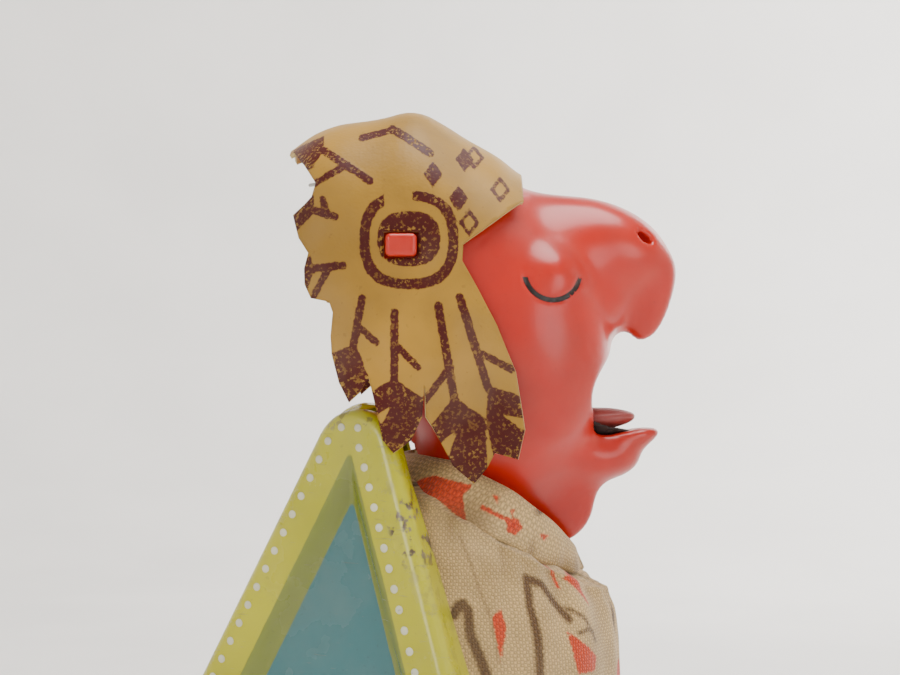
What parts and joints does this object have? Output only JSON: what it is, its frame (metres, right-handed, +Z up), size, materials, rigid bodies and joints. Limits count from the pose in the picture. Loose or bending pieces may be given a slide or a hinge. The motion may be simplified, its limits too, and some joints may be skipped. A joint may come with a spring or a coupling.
{
  "type": "wind-up hopping chicken",
  "caption": "Wind-up hopping toy chicken: clockwork in a tin body, nodding moulded head in a printed hood, cotton smock, hinged tin wings and jointed legs.",
  "frame": {"origin": "middle of the toy's box on the surface that it stands on", "axes": "+X forwards, the way the beak points; +Y the toy's left; +Z up"},
  "size_m": [0.0984, 0.0912, 0.2139],
  "materials": {
    "body_tin": "glossy printed tin",
    "wing_tin": "glossy yellow-green printed tin, teal middle panel, chipped edges",
    "smock_cotton": "coarse printed cotton",
    "steel": "bright plated steel",
    "dark_steel": "blued spring steel",
    "head_plastic": "glossy moulded plastic",
    "mouth_dark": "dark matt",
    "tongue_red": "dull red",
    "hood_vinyl": "tan printed vinyl, worn",
    "leg_tin": "orange painted tin",
    "key_nickel": "worn nickel plate",
    "wheel_brass": "stamped brass"
  },
  "bodies": {
    "body": {"torso_left": "body_tin", "torso_right": "body_tin", "smock": "smock_cotton", "collar": "smock_cotton", "base_plate": "steel", "frame_plate_left": "steel", "frame_plate_right": "steel", "frame_pillars": "steel", "pillar_screws": "dark_steel", "neck_post": "steel", "wing_bracket_left": "steel", "wing_bracket_right": "steel", "bracket_rivets": "steel", "mainspring": "dark_steel", "stop_lever_rivet": "steel"},
    "head": {"head_shell_left": "head_plastic", "head_shell_right": "head_plastic", "mouth_liner": "mouth_dark", "tongue": "tongue_red", "hood": "hood_vinyl", "hood_staples": "steel", "neck_pin": "steel", "nod_lever": "dark_steel"},
    "left_wing": {"wing_left": "wing_tin", "wing_pin_left": "steel"},
    "right_wing": {"wing_right": "wing_tin", "wing_pin_right": "steel"},
    "legs": {"hip_axle": "steel", "leg_left": "leg_tin", "leg_right": "leg_tin", "foot_left": "leg_tin", "foot_right": "leg_tin", "foot_rivets": "steel", "leg_spring": "steel"},
    "winder": {"winding_arbor": "steel", "ratchet_wheel": "dark_steel", "key": "key_nickel"},
    "great": {"great_wheel": "wheel_brass", "click_spring": "steel"},
    "click": {"click_pawl": "dark_steel"},
    "second": {"second_arbor": "steel", "second_pinion": "wheel_brass", "second_wheel": "wheel_brass", "nod_cam": "dark_steel"},
    "crank": {"crank_shaft": "steel", "crank_pinion": "wheel_brass", "third_wheel": "wheel_brass", "crank_left": "dark_steel", "crank_right": "dark_steel"},
    "governor": {"governor_arbor": "steel", "governor_pinion": "wheel_brass", "governor_fan": "steel"},
    "stop": {"stop_lever": "steel"}
  },
  "joints": [
    {"name": "nod", "type": "hinge", "parent": "body", "child": "head", "pos_m": [0.00717, -0.0036, 0.15], "axis": [0, 1, 0], "range_deg": [-8, 0]},
    {"name": "left_wing_swing", "type": "hinge", "parent": "body", "child": "left_wing", "pos_m": [-0.01096, 0.01341, 0.15], "axis": [0.866, 0.5, 0], "range_deg": [0, 12]},
    {"name": "right_wing_swing", "type": "hinge", "parent": "body", "child": "right_wing", "pos_m": [-0.01096, -0.02061, 0.15], "axis": [-0.866, 0.5, 0], "range_deg": [0, 12]},
    {"name": "hop", "type": "hinge", "parent": "body", "child": "legs", "pos_m": [-0.00583, -0.0036, 0.053], "axis": [0, 1, 0], "range_deg": [0, 16]},
    {"name": "key_turn", "type": "hinge", "parent": "body", "child": "winder", "pos_m": [0.01817, -0.0036, 0.068], "axis": [0, 1, 0], "continuous": true},
    {"name": "great_spin", "type": "hinge", "parent": "body", "child": "great", "pos_m": [0.01817, -0.0036, 0.068], "axis": [0, 1, 0], "continuous": true},
    {"name": "second_spin", "type": "hinge", "parent": "body", "child": "second", "pos_m": [0.00503, -0.0036, 0.08412], "axis": [0, 1, 0], "continuous": true},
    {"name": "crank_spin", "type": "hinge", "parent": "body", "child": "crank", "pos_m": [-0.00133, -0.0036, 0.066], "axis": [0, 1, 0], "continuous": true},
    {"name": "governor_spin", "type": "hinge", "parent": "body", "child": "governor", "pos_m": [-0.01518, -0.0036, 0.074], "axis": [0, 1, 0], "continuous": true},
    {"name": "click_lift", "type": "hinge", "parent": "great", "child": "click", "pos_m": [0.01817, -0.0036, 0.0785], "axis": [0, -1, 0], "range_deg": [0, 10], "stiffness_Nm_per_rad": 0.001, "springref_deg": -11.46},
    {"name": "stop_swing", "type": "hinge", "parent": "body", "child": "stop", "pos_m": [0.00317, -0.0036, 0.046], "axis": [0, 0, 1], "range_deg": [0, 25]}
  ],
  "couplings": [
    {"joint": "second_spin", "follows": "great_spin", "ratio": -3.3333},
    {"joint": "crank_spin", "follows": "great_spin", "ratio": 10},
    {"joint": "governor_spin", "follows": "great_spin", "ratio": -23.333}
  ]
}
